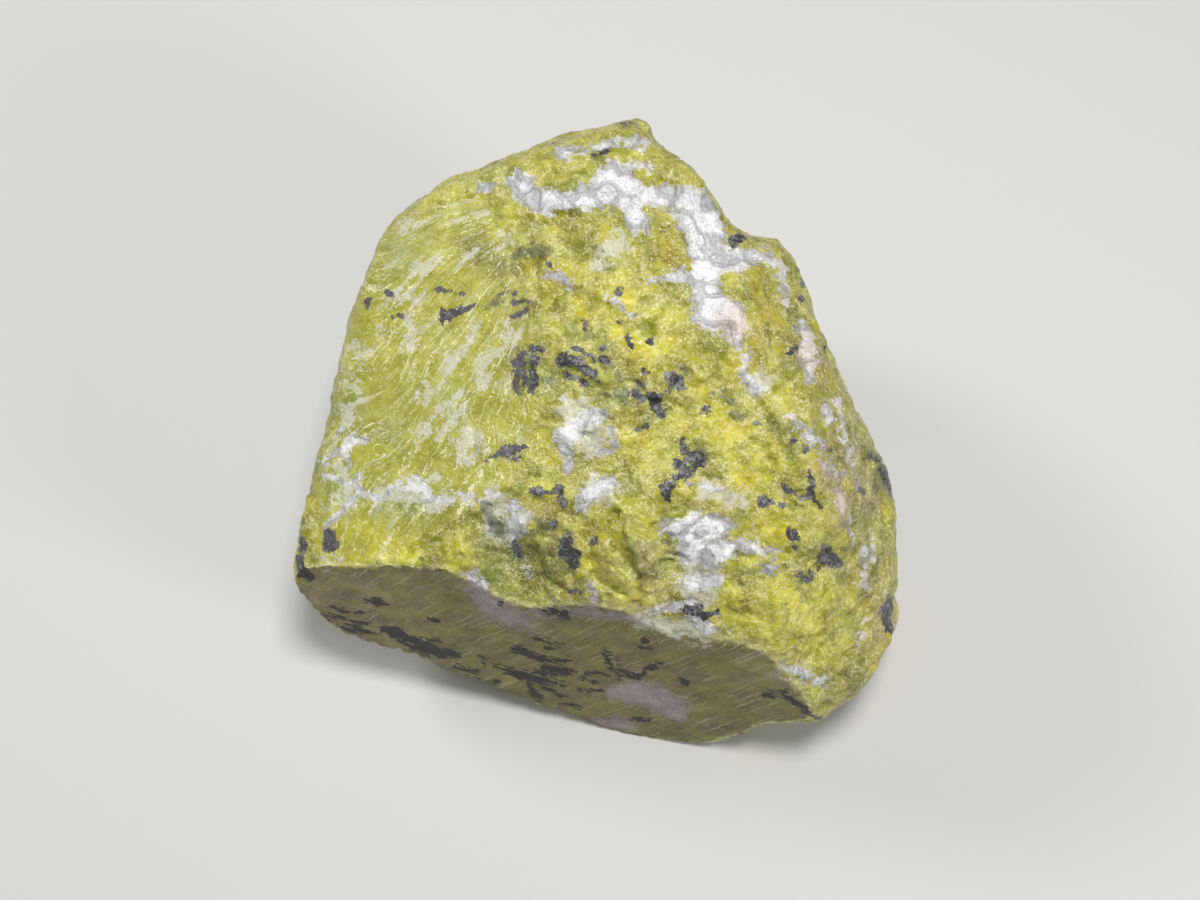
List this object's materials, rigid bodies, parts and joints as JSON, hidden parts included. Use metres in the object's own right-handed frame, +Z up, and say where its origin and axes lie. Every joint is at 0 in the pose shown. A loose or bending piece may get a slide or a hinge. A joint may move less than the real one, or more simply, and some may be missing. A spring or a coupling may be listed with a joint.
{
  "type": "raw lizardite stone",
  "caption": "Rough broken lump of yellow-green serpentine with a sheared face, white veins, black specks and a flat sawn side, lying on its flattest side.",
  "frame": {"origin": "middle of the stone's footprint, on the surface it rests on", "axes": "+Z up; +X across the broad face, along the length of the sawn side; the sawn side faces -Y, leaning back about 14 degrees, and the broad face above it slopes down towards -Y"},
  "size_m": [0.1394, 0.131, 0.096],
  "materials": {
    "serpentine": "waxy, rough broken yellow-green stone with white talc veins and black magnetite specks"
  },
  "bodies": {
    "root": {"lizardite": "serpentine"}
  },
  "joints": []
}
